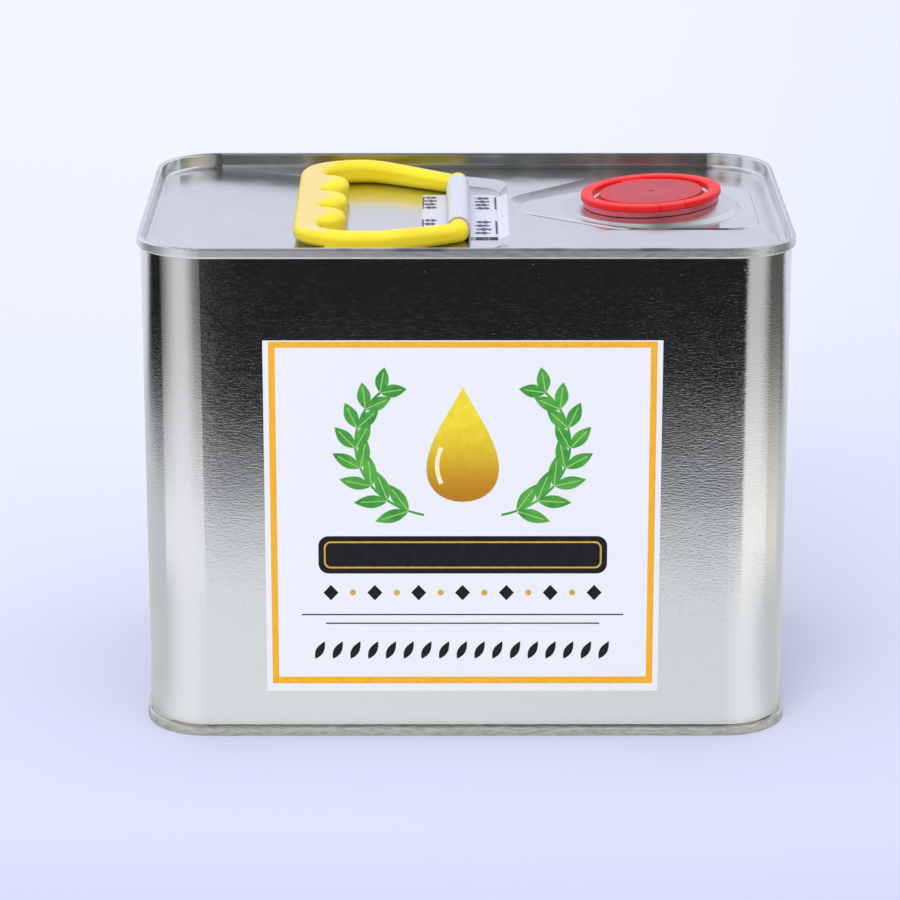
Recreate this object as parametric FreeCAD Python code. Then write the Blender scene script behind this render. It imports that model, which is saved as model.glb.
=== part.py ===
import FreeCAD, Part
import math
import os
from FreeCAD import Vector

# Rectangular oil tin with double seamed ends, a swinging carry handle in a welded strap
# and a pull-up pouring spout under a red screw cap with two finger bails.
# Millimetres. The origin is the middle of the base: X runs along the long side,
# Y runs from front to back and Z runs up.

# Tin body and double seams
seam_length = 190.0
seam_width = 122.0
tin_height = 148.3
seam_corner_radius = 19.0
seam_height = 3.1
seam_bend_radius = 0.6
sheet = 0.28
layer_gap = 0.07
body_hook_length = 2.0
cover_hook_length = 1.9
compound_thickness = 0.3
lap_width = 1.2
lap_rise = 0.12
overrun = 5.0

# Top end: handle nest on the left, spout boss on the right
panel_depth = 4.6
chuck_radius = 1.2
nest_width = 102.0
nest_end_width = 72.0
nest_shoulder_gap = 35.0
nest_corner_radius = 8.0
nest_depth = 1.3
nest_left_run = 28.0
nest_side_run = 6.0
nest_right_run = 2.6
nest_end_gap = 15.0
nest_boss_gap = 0.5
boss_base_length = 78.0
boss_base_width = 100.0
boss_base_tip_width = 40.0
boss_base_shoulder_gap = 30.0
boss_base_radius = 14.0
boss_end_gap = 3.5
boss_edge_length = 70.5
boss_edge_width = 54.0
boss_edge_tip_width = 11.0
boss_edge_shoulder_gap = 29.0
boss_edge_radius = 10.0
boss_edge_end_inset = 5.0
boss_rise = 1.55
platform_rise = 0.4
seat_radius = 20.3
seat_edge_radius = 25.2
seat_edge_lift = 0.9
seat_drop = 2.0

# Bottom end
bottom_panel_depth = 5.0
bottom_step_inset = 14.0
bottom_step_rise = 1.2

# Run of an embossed wall for each unit of its rise
emboss_run_share = 1.0

# Lean of the seat's edge for each degree of the closure's lean
seat_lean_share = 0.3

# Carry handle and its strap
handle_pivot_gap = 15.2
strap_length = 52.5
strap_sheet = 0.5
strap_left_reach = 10.8
strap_right_reach = 11.7
strap_corner_radius = 1.5
strap_bend_radius = 0.45
bar_radius = 2.5
bar_clearance = 0.55
knuckle_radius = 3.0
knuckle_round = 2.4
knuckle_gap = 0.7
knuckle_floor_gap = 0.3
handle_floor_gap = 0.15
handle_reach = 48.2
shoulder_reach = 28.0
shoulder_half_width = 51.0
shoulder_radius = 20.0
end_half_width = 42.0
arm_width = 6.8
shoulder_arm_width = 7.4
arm_end_thickness = 5.4
grip_thickness = 6.8
grip_depth = 7.8
grip_lip_depth = 9.6
grip_lip_thickness = 4.5
handle_outer_corner = 15.0
handle_inner_corner = 8.0
handle_edge_round = 2.4
handle_under_round = 2.2
grip_lip_round = 1.2
finger_pitch = 20.5
finger_bump_radius = 7.4
finger_bump_blend = 1.6
finger_bump_count = 3

# Spout closure, which sits askew on the boss
closure_end_distance = 39.5
closure_lift = 1.1
closure_tilt_degrees = 3.4
neck_bore_radius = 18.0
curl_radius = 19.2
neck_height = 1.3
curl_drop = 0.5
fit_gap = 0.05
flange_thickness = 0.6
flange_skirt_drop = 0.35
flange_bore_radius = 16.6
flange_root = 1.5
collar_lip_radius = 17.8
crimp_radius = 19.4
crimp_rise = 0.25
crimp_drop = 0.65
bellows_gap = 0.1
bellows_wall = 0.8
bellows_depth = 20.0
bellows_low_radius = 16.4
tube_bore_radius = 11.6
tube_root_radius = 13.1
tube_top_gap = 0.1
seal_depth = 10.4
seal_thickness = 0.8
seal_gap = 0.05
pull_ring_radius = 7.2
pull_ring_wire = 0.8
pull_post_height = 1.6
pull_post_width = 1.6

# Screw cap, its thread and its two finger bails
bail_gap = 0.1
bail_thickness = 1.9
bail_outer_radius = 20.9
bail_inner_radius = 17.4
bail_edge_round = 0.5
bail_line_degrees = 106.0
land_half_width = 3.8
hinge_gap = 0.2
cap_radius = 15.4
cap_drop = 0.4
cap_thickness = 1.5
cap_edge_round = 0.4
bridge_drop = 0.2
cap_skirt_outer_radius = 15.2
cap_skirt_inner_radius = 14.1
cap_skirt_length = 10.3
gate_radius = 0.7
gate_depth = 0.25
liner_radius = 12.9
liner_thickness = 0.8
thread_pitch = 4.0
thread_rise = 0.65
thread_base_width = 1.4
thread_crest_width = 0.8
thread_embed = 0.15
thread_turns = 1.5
tube_thread_drop = 2.6

# Front label
label_length = 114.7
label_height = 107.0
label_thickness = 0.12
label_middle_x = -1.05
label_low = 14.0

# Levels and places that follow from the sizes above
layer_pitch = sheet + layer_gap
seam_low = tin_height - seam_height
seam_inner_inset = 4 * layer_pitch + sheet
body_inset = 3 * layer_pitch
panel_top = tin_height - panel_depth
nest_floor = panel_top - nest_depth
boss_edge_top = panel_top + boss_rise
platform_top = boss_edge_top + platform_rise
boss_base_end = seam_length / 2 - boss_end_gap
boss_base_start = boss_base_end - boss_base_length
boss_edge_end = boss_base_end - boss_edge_end_inset
boss_edge_start = boss_edge_end - boss_edge_length
nest_end = boss_base_start - nest_boss_gap
nest_start = nest_end_gap - seam_length / 2
nest_shoulder_x = nest_end - nest_shoulder_gap
handle_pivot_x = nest_end - handle_pivot_gap
closure_x = seam_length / 2 - closure_end_distance
pivot_z = nest_floor + knuckle_floor_gap + knuckle_radius
handle_low = nest_floor + handle_floor_gap
knuckle_inner = strap_length / 2 + knuckle_gap
knuckle_outer = knuckle_inner + arm_width
closure_origin = Vector(closure_x, 0, platform_top + closure_lift)
seat_level = neck_height - flange_skirt_drop - 2 * crimp_rise - fit_gap
flange_top = neck_height + flange_thickness
collar_top = flange_top + sheet
collar_inner = curl_radius + fit_gap + flange_thickness + fit_gap
bail_low = collar_top + bail_gap
bail_top = bail_low + bail_thickness
cap_top = bail_top - cap_drop
cap_under = cap_top - cap_thickness
liner_low = cap_under - liner_thickness
tube_top = liner_low - tube_top_gap
flange_low = neck_height - flange_root
seal_low = tube_top - seal_depth
UP = Vector(0, 0, 1)


# Shared shapes

def rounded_outline(length, width, corner, height, middle_x=0.0):
    """Rectangle with round corners, as a closed wire lying at a height."""
    straight_x = length / 2 - corner
    straight_y = width / 2 - corner
    edges = []
    quarter = 90
    for turn, (side_x, side_y) in enumerate(((1, 1), (-1, 1), (-1, -1), (1, -1))):
        middle = Vector(middle_x + side_x * straight_x, side_y * straight_y, height)
        edges.append(Part.makeCircle(corner, middle, UP, turn * quarter, (turn + 1) * quarter))
    corners = list(edges)
    for index, arc in enumerate(corners):
        following = corners[(index + 1) % len(corners)]
        start = arc.valueAt(arc.LastParameter)
        end = following.valueAt(following.FirstParameter)
        edges.append(Part.makeLine(start, end))
    return Part.Wire(Part.__sortEdges__(edges))


def slab(length, width, corner, low, high, middle_x=0.0):
    """Upright block with a rounded rectangle as its plan."""
    outline = rounded_outline(length, width, corner, low, middle_x)
    return Part.Face(outline).extrude(UP * (high - low))


def inset_slab(inset, low, high):
    """Block that follows the tin's plan, set in from the face of the seams."""
    return slab(seam_length - 2 * inset, seam_width - 2 * inset, seam_corner_radius - inset, low, high)


def ring(outer_inset, inner_inset, low, high):
    """Wall that follows the tin's plan between two insets."""
    return inset_slab(outer_inset, low, high).cut(inset_slab(inner_inset, low, high))


def plan_inset(point):
    """How far a point near the tin's side lies inside the face of the seams."""
    beyond_x = max(abs(point.x) - (seam_length / 2 - seam_corner_radius), 0)
    beyond_y = max(abs(point.y) - (seam_width / 2 - seam_corner_radius), 0)
    return seam_corner_radius - math.hypot(beyond_x, beyond_y)


def edges_at(shape, height, inset):
    """Level edges of a shape at a height, on the outline with that inset."""
    near = sheet / 4
    found = []
    for edge in shape.Edges:
        box = edge.BoundBox
        point = edge.valueAt((edge.FirstParameter + edge.LastParameter) / 2)
        level = abs(box.ZMin - height) < near and abs(box.ZMax - height) < near
        if level and abs(plan_inset(point) - inset) < near:
            found.append(edge)
    return found


def revolved(points):
    """Ring from a closed section of (radius, height) points, turned about Z."""
    section = Part.makePolygon([Vector(radius, 0, height) for radius, height in points + points[:1]])
    return Part.Face(section).revolve(Vector(), UP, 360)


def tube(outer_radius, inner_radius, low, high):
    """Upright round tube."""
    base = Vector(0, 0, low)
    outer = Part.makeCylinder(outer_radius, high - low, base)
    return outer.cut(Part.makeCylinder(inner_radius, high - low, base))


def one_solid(shape):
    """The single clean solid of a finished piece."""
    clean = shape.removeSplitter()
    return clean.Solids[0] if len(clean.Solids) == 1 else clean


def stand(shape):
    """Set a closure piece on the boss, leaning with the closure."""
    placed = shape.copy()
    placed.rotate(Vector(), Vector(0, 1, 0), -closure_tilt_degrees)
    placed.translate(closure_origin)
    return placed


# Tin body

def body_shell():
    """Wrapped wall with a hook folded out at each end and a lap weld at the back."""
    flange_high = tin_height - sheet - compound_thickness
    flange_low_end = sheet + compound_thickness
    shell = ring(body_inset, body_inset + sheet, flange_low_end, flange_high)
    hook_folds = (
        (flange_high - body_hook_length, flange_high, flange_high - sheet, flange_high),
        (flange_low_end, flange_low_end + body_hook_length, flange_low_end, flange_low_end + sheet),
    )
    for hook_low, hook_high, fold_low, fold_high in hook_folds:
        shell = shell.fuse(ring(layer_pitch, layer_pitch + sheet, hook_low, hook_high))
        shell = shell.fuse(ring(layer_pitch, body_inset + sheet, fold_low, fold_high))
    back_face = seam_width / 2 - body_inset
    lap_low = seam_height + layer_gap
    lap_height = tin_height - 2 * lap_low
    lap_corner = Vector(-lap_width / 2, back_face - sheet / 2, lap_low)
    shell = shell.fuse(Part.makeBox(lap_width, sheet / 2 + lap_rise, lap_height, lap_corner))
    return one_solid(shell)


def seam_compound():
    """Sealing bead between the top end's fold and the body's flange."""
    low = tin_height - sheet - compound_thickness
    return ring(2 * layer_pitch, 2 * layer_pitch + sheet, low, low + compound_thickness)


def end_seam():
    """Folded rim of the top end: outer wall, cover hook and upper chuck wall."""
    rim = ring(0, seam_inner_inset, seam_low, tin_height)
    rim_edges = edges_at(rim, tin_height, 0) + edges_at(rim, tin_height, seam_inner_inset)
    rim = rim.makeFillet(seam_bend_radius, rim_edges + edges_at(rim, seam_low, 0))
    hollow_low = seam_low + sheet
    hollow_high = tin_height - sheet
    chuck_inset = 4 * layer_pitch
    hollow = ring(sheet, chuck_inset, hollow_low, hollow_high)
    hollow_edges = edges_at(hollow, hollow_high, sheet) + edges_at(hollow, hollow_high, chuck_inset)
    hollow_edges += edges_at(hollow, hollow_low, sheet)
    rim = rim.cut(hollow.makeFillet(seam_bend_radius - sheet, hollow_edges))
    hook_inset = 2 * layer_pitch
    rim = rim.cut(ring(hook_inset + sheet, chuck_inset, seam_low - overrun, hollow_low))
    return rim.fuse(ring(hook_inset, hook_inset + sheet, seam_low, seam_low + cover_hook_length))


def countersunk_panel(depth):
    """Chuck wall and flat panel of a top end, sunk below the seam's top."""
    level = tin_height - depth
    chuck_inset = 4 * layer_pitch
    high = seam_low + sheet
    outer = inset_slab(chuck_inset, level - sheet, high)
    outer = outer.makeFillet(chuck_radius + sheet, edges_at(outer, level - sheet, chuck_inset))
    inner = inset_slab(seam_inner_inset, level, high + overrun)
    inner = inner.makeFillet(chuck_radius, edges_at(inner, level, seam_inner_inset))
    return outer.cut(inner)


def ruled_block(low_outline, high_outline):
    """Solid with straight sloping sides between two outlines."""
    return Part.makeLoft([low_outline, high_outline], True, True)


def rounded_polygon(corners, radius, height):
    """Closed wire through (x, y) corners, each rounded alike, lying at a height."""
    places = [Vector(x, y, height) for x, y in corners]
    arcs = []
    for index, corner in enumerate(places):
        to_last = (places[index - 1] - corner).normalize()
        to_next = (places[(index + 1) % len(places)] - corner).normalize()
        half_angle = to_last.getAngle(to_next) / 2
        run = radius / math.tan(half_angle)
        inwards = (to_last + to_next).normalize()
        middle = corner + inwards * (radius / math.sin(half_angle) - radius)
        arcs.append(Part.Arc(corner + to_last * run, middle, corner + to_next * run).toShape())
    edges = list(arcs)
    for index, arc in enumerate(arcs):
        following = arcs[(index + 1) % len(arcs)]
        edges.append(Part.makeLine(arc.Vertexes[-1].Point, following.Vertexes[0].Point))
    return Part.Wire(Part.__sortEdges__(edges))


def nest_outline(left_x, right_x, spread, height):
    """Plan of the handle nest, which widens from the strap to the shoulders of the handle."""
    half_end = nest_end_width / 2 + spread
    half_width = nest_width / 2 + spread
    one_side = [(right_x, half_end), (nest_shoulder_x, half_width), (left_x, half_width)]
    other_side = [(x, -y) for x, y in reversed(one_side)]
    return rounded_polygon(one_side + other_side, nest_corner_radius, height)


def nest_block():
    """Shallow dish in which the handle lies, with a long slope towards the tin's left end."""
    floor = nest_outline(nest_start + nest_left_run, nest_end - nest_right_run, 0, nest_floor)
    brim = nest_outline(nest_start, nest_end, nest_side_run, panel_top)
    return ruled_block(floor, brim)


def seat_outline(radius, lift):
    """Circle about the spout above the boss, with the slight lean of the seat's edge."""
    circle = Part.Wire(Part.makeCircle(radius))
    circle.rotate(Vector(), Vector(0, 1, 0), -closure_tilt_degrees * seat_lean_share)
    circle.translate(Vector(closure_x, 0, platform_top + lift))
    return circle


def seat_block():
    """Round seat of the spout: a short slope up from the boss, then a rise to the leaning collar."""
    base = seat_outline(seat_edge_radius + seat_drop * emboss_run_share, seat_edge_lift - seat_drop)
    edge = seat_outline(seat_edge_radius, seat_edge_lift)
    top = stand(Part.Wire(Part.makeCircle(seat_radius, Vector(0, 0, seat_level))))
    seat = Part.makeLoft([base, edge, top], True, True)
    return seat.common(inset_slab(seam_inner_inset, platform_top, tin_height + overrun))


def boss_outline(start, end, width, tip_width, shoulder_gap, radius, height):
    """Plan of the spout boss, which narrows towards the handle, as a closed wire at a height."""
    one_side = [(end, width / 2), (start + shoulder_gap, width / 2), (start, tip_width / 2)]
    other_side = [(x, -y) for x, y in reversed(one_side)]
    return rounded_polygon(one_side + other_side, radius, height)


def boss_block():
    """Low boss that carries the spout: a gentle rise, a step and the seat."""
    base = boss_outline(
        boss_base_start, boss_base_end, boss_base_width, boss_base_tip_width,
        boss_base_shoulder_gap, boss_base_radius, panel_top)
    edge = boss_outline(
        boss_edge_start, boss_edge_end, boss_edge_width, boss_edge_tip_width,
        boss_edge_shoulder_gap, boss_edge_radius, boss_edge_top)
    run = platform_rise * emboss_run_share
    platform = boss_outline(
        boss_edge_start + run, boss_edge_end - run, boss_edge_width - 2 * run, boss_edge_tip_width,
        boss_edge_shoulder_gap - run, boss_edge_radius - run, platform_top)
    return ruled_block(base, edge).fuse(ruled_block(edge, platform)).fuse(seat_block())


def spout_neck():
    """Upstand with a curled brim on the leaning seat."""
    wall = neck_bore_radius + sheet
    root = seat_level - sheet
    return stand(revolved([
        (neck_bore_radius, root),
        (wall, root),
        (wall, neck_height - sheet),
        (curl_radius - sheet, neck_height - sheet),
        (curl_radius - sheet, neck_height - curl_drop),
        (curl_radius, neck_height - curl_drop),
        (curl_radius, neck_height),
        (neck_bore_radius, neck_height),
    ]))


def top_end():
    """Seamed top with the handle nest, the spout boss and the spout's neck."""
    lower = Vector(0, 0, -sheet)
    nest = nest_block()
    boss = boss_block()
    end = end_seam().fuse(countersunk_panel(panel_depth))
    end = end.fuse(nest.translated(lower)).fuse(boss)
    end = end.cut(nest).cut(boss.translated(lower))
    bore_low = Vector(0, 0, -overrun)
    bore = stand(Part.makeCylinder(neck_bore_radius, 2 * overrun, bore_low))
    return one_solid(end.cut(bore).fuse(spout_neck()))


def bottom_end():
    """Seamed bottom, the top's rim turned over, with one step pressed inwards."""
    level = tin_height - bottom_panel_depth
    inset = bottom_step_inset
    run = bottom_step_rise * emboss_run_share
    outlines = []
    for step_inset, height in ((inset, level), (inset + run, level - bottom_step_rise)):
        outlines.append(rounded_outline(
            seam_length - 2 * step_inset, seam_width - 2 * step_inset,
            seam_corner_radius - seam_inner_inset, height))
    step = ruled_block(outlines[1], outlines[0])
    end = end_seam().fuse(countersunk_panel(bottom_panel_depth))
    end = end.fuse(step.translated(Vector(0, 0, -sheet))).cut(step)
    return one_solid(turned_over(end))


def turned_over(shape):
    """Mirror a piece of the top to the bottom of the tin."""
    return shape.mirror(Vector(0, 0, tin_height / 2), UP)


def front_label():
    """Paper label stuck on the front wall."""
    front_face = -(seam_width / 2 - body_inset)
    corner = Vector(label_middle_x - label_length / 2, front_face - label_thickness, label_low)
    return Part.makeBox(label_length, label_thickness, label_height, corner)


# Carry handle and strap

def handle_strap():
    """Sheet saddle over the handle's bar, with a welded foot on each side."""
    inner = bar_radius + bar_clearance
    outer = inner + strap_sheet
    foot_top = nest_floor + strap_sheet
    front = -strap_length / 2

    def at(x, z):
        return Vector(handle_pivot_x + x, front, z)

    edges = [Part.Arc(at(-outer, pivot_z), at(0, pivot_z + outer), at(outer, pivot_z)).toShape()]
    right_path = [at(outer, pivot_z), at(outer, foot_top), at(strap_right_reach, foot_top),
                  at(strap_right_reach, nest_floor), at(inner, nest_floor), at(inner, pivot_z)]
    left_path = [at(-inner, pivot_z), at(-inner, nest_floor), at(-strap_left_reach, nest_floor),
                 at(-strap_left_reach, foot_top), at(-outer, foot_top), at(-outer, pivot_z)]
    for path in (right_path, left_path):
        for start, end in zip(path, path[1:]):
            edges.append(Part.makeLine(start, end))
    edges.append(Part.Arc(at(inner, pivot_z), at(0, pivot_z + inner), at(-inner, pivot_z)).toShape())
    section = Part.Face(Part.Wire(Part.__sortEdges__(edges)))
    strap = section.extrude(Vector(0, strap_length, 0))
    strap = strap.makeFillet(strap_corner_radius, foot_corner_edges(strap, foot_top))
    return one_solid(strap.makeFillet(strap_bend_radius, foot_bend_edges(strap, outer, foot_top)))


def foot_corner_edges(strap, foot_top):
    """Upright edges at the four outer corners of the strap's feet."""
    near = strap_sheet / 4
    found = []
    for edge in strap.Edges:
        box = edge.BoundBox
        upright = abs(box.ZMin - nest_floor) < near and abs(box.ZMax - foot_top) < near
        left_end = abs(box.XMin - (handle_pivot_x - strap_left_reach)) < near
        right_end = abs(box.XMax - (handle_pivot_x + strap_right_reach)) < near
        if upright and box.XLength < near and box.YLength < near and (left_end or right_end):
            found.append(edge)
    return found


def foot_bend_edges(strap, outer, foot_top):
    """The two long edges where the strap's arch meets its feet."""
    near = strap_sheet / 4
    found = []
    for edge in strap.Edges:
        box = edge.BoundBox
        level = abs(box.ZMin - foot_top) < near and abs(box.ZMax - foot_top) < near
        at_leg = abs(abs(box.Center.x - handle_pivot_x) - outer) < near
        if level and at_leg and box.XLength < near:
            found.append(edge)
    return found


def handle_slab(points, low, high):
    """Upright block from half of a handle outline, as (distance from the pivot, half width) points."""
    sides = [(along, -half_width) for along, half_width in points]
    sides += [(along, half_width) for along, half_width in reversed(points)]
    corners = [Vector(handle_pivot_x - along, side, low) for along, side in sides]
    return Part.Face(Part.makePolygon(corners + corners[:1])).extrude(UP * (high - low))


def upright_edges(shape, along, half_width):
    """Upright edges of the handle at a distance from the pivot, on both sides."""
    near = grip_lip_round / 8
    found = []
    for edge in shape.Edges:
        box = edge.BoundBox
        upright = box.ZLength > grip_thickness / 4 and max(box.XLength, box.YLength) < near
        at_place = abs(handle_pivot_x - along - box.Center.x) < near
        if upright and at_place and abs(abs(box.Center.y) - half_width) < near:
            found.append(edge)
    return found


def grip_loop():
    """Grip and two swept arms of the handle, with bumps between the fingers."""
    high = handle_low + grip_thickness
    inner_end = handle_reach - grip_depth
    inner_shoulder = shoulder_half_width - shoulder_arm_width
    inner_half_width = end_half_width - arm_width / 2
    outer_points = [(0, knuckle_outer), (shoulder_reach, shoulder_half_width), (handle_reach, end_half_width)]
    inner_points = [(-overrun, knuckle_inner), (0, knuckle_inner),
                    (shoulder_reach, inner_shoulder), (inner_end, inner_half_width)]
    loop = handle_slab(outer_points, handle_low, high)
    loop = loop.makeFillet(shoulder_radius, upright_edges(loop, shoulder_reach, shoulder_half_width))
    loop = loop.makeFillet(handle_outer_corner, upright_edges(loop, handle_reach, end_half_width))
    opening = handle_slab(inner_points, handle_low, high)
    inner_radius = shoulder_radius - shoulder_arm_width
    opening = opening.makeFillet(inner_radius, upright_edges(opening, shoulder_reach, inner_shoulder))
    opening = opening.makeFillet(handle_inner_corner, upright_edges(opening, inner_end, inner_half_width))
    loop = loop.cut(opening)
    bump_sides = []
    for index in range(finger_bump_count):
        side = (index - (finger_bump_count - 1) / 2) * finger_pitch
        middle = Vector(handle_pivot_x - inner_end, side, handle_low)
        loop = loop.fuse(Part.makeCylinder(finger_bump_radius, grip_thickness, middle))
        bump_sides += [abs(side - finger_bump_radius), abs(side + finger_bump_radius)]
    loop = loop.removeSplitter()
    blend_edges = []
    for half_width in sorted(set(bump_sides)):
        blend_edges += upright_edges(loop, inner_end, half_width)
    return loop.makeFillet(finger_bump_blend, blend_edges)


def tapered(loop):
    """Thin the handle from the shoulders towards the pivot."""
    high = handle_low + grip_thickness
    slope_low = handle_low + arm_end_thickness
    start_x = handle_pivot_x
    end_x = handle_pivot_x - shoulder_reach
    half = shoulder_half_width + overrun
    slope_share = (high - slope_low) / shoulder_reach
    points = [
        (start_x + overrun, slope_low - overrun * slope_share),
        (end_x, high),
        (end_x, high + overrun),
        (start_x + overrun, high + overrun),
    ]
    corners = [Vector(x, -half, z) for x, z in points]
    wedge = Part.Face(Part.makePolygon(corners + corners[:1])).extrude(Vector(0, 2 * half, 0))
    return loop.cut(wedge)


def lip_clearance():
    """Space under the grip's outer lip, where a finger lifts it."""
    lip_start = handle_reach - grip_lip_depth
    lip_low = handle_low + grip_thickness - grip_lip_thickness
    half_width = shoulder_half_width + overrun
    points = [(lip_start, half_width), (handle_reach + overrun, half_width)]
    return handle_slab(points, handle_low - overrun, lip_low)


def rim_edges_of(loop, side):
    """Edges around the handle's upper (side 1) or lower (side -1) faces, but for its open ends."""
    half_right_angle = math.sqrt(2) / 2
    found = []
    for edge in loop.Edges:
        faces = loop.ancestorsOfType(edge, Part.Face)
        facing = sorted(face.normalAt(0, 0).z * side for face in faces)
        on_rim = abs(facing[0]) < half_right_angle < facing[-1]
        if on_rim and edge.BoundBox.Center.x < handle_pivot_x - grip_lip_round / 8:
            found.append(edge)
    return found


def lip_edges_of(handle):
    """Lower edges around the outer side of the grip's lip."""
    near = grip_lip_round / 8
    lip_low = handle_low + grip_thickness - grip_lip_thickness
    inner_x = handle_pivot_x - handle_reach + grip_depth
    found = []
    for edge in handle.Edges:
        box = edge.BoundBox
        level = max(abs(box.ZMin - lip_low), abs(box.ZMax - lip_low)) < near
        runs_on = max(box.XLength, box.YLength) > near
        outer_end = box.XMin < inner_x - near
        outer_side = abs(box.Center.y) > end_half_width and box.XLength > near
        if level and runs_on and (outer_end or outer_side):
            found.append(edge)
    return found


def carry_handle():
    """Moulded handle: loop, two knuckles and the bar that turns in the strap."""
    handle = tapered(grip_loop())
    handle = handle.makeFillet(handle_edge_round, rim_edges_of(handle, 1))
    handle = handle.makeFillet(handle_under_round, rim_edges_of(handle, -1))
    handle = handle.cut(lip_clearance())
    handle = handle.makeFillet(grip_lip_round, lip_edges_of(handle))
    along_y = Vector(0, 1, 0)
    for side in (-1, 1):
        start = Vector(handle_pivot_x, side * knuckle_inner, pivot_z)
        knuckle = Part.makeCylinder(knuckle_radius, arm_width, start, along_y * side)
        far_edges = [edge for edge in knuckle.Edges
                     if abs(abs(edge.BoundBox.Center.y) - knuckle_outer) < knuckle_round / 4
                     and edge.BoundBox.YLength < knuckle_round / 4]
        handle = handle.fuse(knuckle.makeFillet(knuckle_round, far_edges))
    bar_length = 2 * knuckle_inner + arm_width
    bar_start = Vector(handle_pivot_x, -bar_length / 2, pivot_z)
    handle = handle.fuse(Part.makeCylinder(bar_radius, bar_length, bar_start, along_y))
    return one_solid(handle)


# Spout closure

def spout_flange():
    """Soft rim of the spout, hooked over the neck's curl."""
    skirt_inner = curl_radius + fit_gap
    skirt_outer = skirt_inner + flange_thickness
    wall_outer = neck_bore_radius - fit_gap
    skirt_low = neck_height - flange_skirt_drop
    return stand(revolved([
        (flange_bore_radius, flange_low),
        (wall_outer, flange_low),
        (wall_outer, neck_height),
        (skirt_inner, neck_height),
        (skirt_inner, skirt_low),
        (skirt_outer, skirt_low),
        (skirt_outer, flange_top),
        (flange_bore_radius, flange_top),
    ]))


def neck_collar():
    """Sheet ring crimped over the spout's rim and under the neck's curl."""
    skirt_low = neck_height - flange_skirt_drop
    collar_outer = collar_inner + sheet
    crimp_top = skirt_low - crimp_rise
    crimp_low = crimp_top - crimp_rise
    return stand(revolved([
        (collar_lip_radius, flange_top),
        (collar_inner, flange_top),
        (collar_inner, skirt_low),
        (crimp_radius, crimp_top),
        (crimp_radius, crimp_low),
        (collar_outer, neck_height - crimp_drop),
        (collar_outer, collar_top),
        (collar_lip_radius, collar_top),
    ]))


def spout_bellows():
    """Flexible wall that hangs inside the neck and rolls out with the spout."""
    top = flange_low - bellows_gap
    low = top - bellows_depth
    outer_top = flange_bore_radius + bellows_wall
    hem_inner = tube_root_radius + bellows_gap
    return stand(revolved([
        (flange_bore_radius, top),
        (bellows_low_radius - bellows_wall, low + bellows_wall),
        (hem_inner, low + bellows_wall),
        (hem_inner, low),
        (bellows_low_radius, low),
        (outer_top, top),
    ]))


def thread_ridge(wall_radius, crest_radius, low):
    """Screw ridge that rises from a round wall towards its crest."""
    inward = -1 if crest_radius < wall_radius else 1
    root = wall_radius - inward * thread_embed
    section = Part.makePolygon([
        Vector(root, 0, -thread_base_width / 2),
        Vector(crest_radius, 0, -thread_crest_width / 2),
        Vector(crest_radius, 0, thread_crest_width / 2),
        Vector(root, 0, thread_base_width / 2),
        Vector(root, 0, -thread_base_width / 2),
    ])
    path = Part.Wire(Part.makeHelix(thread_pitch, thread_turns * thread_pitch, wall_radius).Edges)
    ridge = path.makePipeShell([section], True, True)
    return ridge.translated(Vector(0, 0, low))


def spout_tube():
    """Pouring tube with the cap's thread outside, from the bellows' hem up to the liner."""
    low = flange_low - bellows_gap - bellows_depth
    wall = tube(tube_root_radius, tube_bore_radius, low, tube_top)
    ridge_low = tube_top - tube_thread_drop - thread_turns * thread_pitch
    ridge = thread_ridge(tube_root_radius, tube_root_radius + thread_rise, ridge_low)
    return stand(one_solid(wall.fuse(ridge)))


def tear_seal():
    """Membrane across the tube with a ring to pull it out."""
    radius = tube_bore_radius - seal_gap
    disc = Part.makeCylinder(radius, seal_thickness, Vector(0, 0, seal_low))
    disc_top = seal_low + seal_thickness
    post_corner = Vector(pull_ring_radius - pull_post_width / 2, -pull_post_width / 2, disc_top)
    post = Part.makeBox(pull_post_width, pull_post_width, pull_post_height, post_corner)
    ring_middle = Vector(0, 0, disc_top + pull_post_height)
    pull_ring = Part.makeTorus(pull_ring_radius, pull_ring_wire, ring_middle)
    return stand(one_solid(disc.fuse(post).fuse(pull_ring)))


def cap_liner():
    """Soft disc under the cap that closes the tube."""
    return stand(Part.makeCylinder(liner_radius, liner_thickness, Vector(0, 0, liner_low)))


def bail_ring():
    """Full ring of which the bails and the cap's two lands are parts."""
    whole = tube(bail_outer_radius, bail_inner_radius, bail_low, bail_top)
    round_edges = [edge for edge in whole.Edges if edge.BoundBox.ZLength < bail_edge_round / 4]
    return whole.makeFillet(bail_edge_round, round_edges)


def along_bail_line(half_width, from_side, low, high):
    """Block along the line between the bails, from a side position to plus half_width."""
    span = 2 * (bail_outer_radius + overrun)
    block = Part.makeBox(span, half_width - from_side, high - low, Vector(-span / 2, from_side, low))
    block.rotate(Vector(), UP, bail_line_degrees)
    return block


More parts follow.
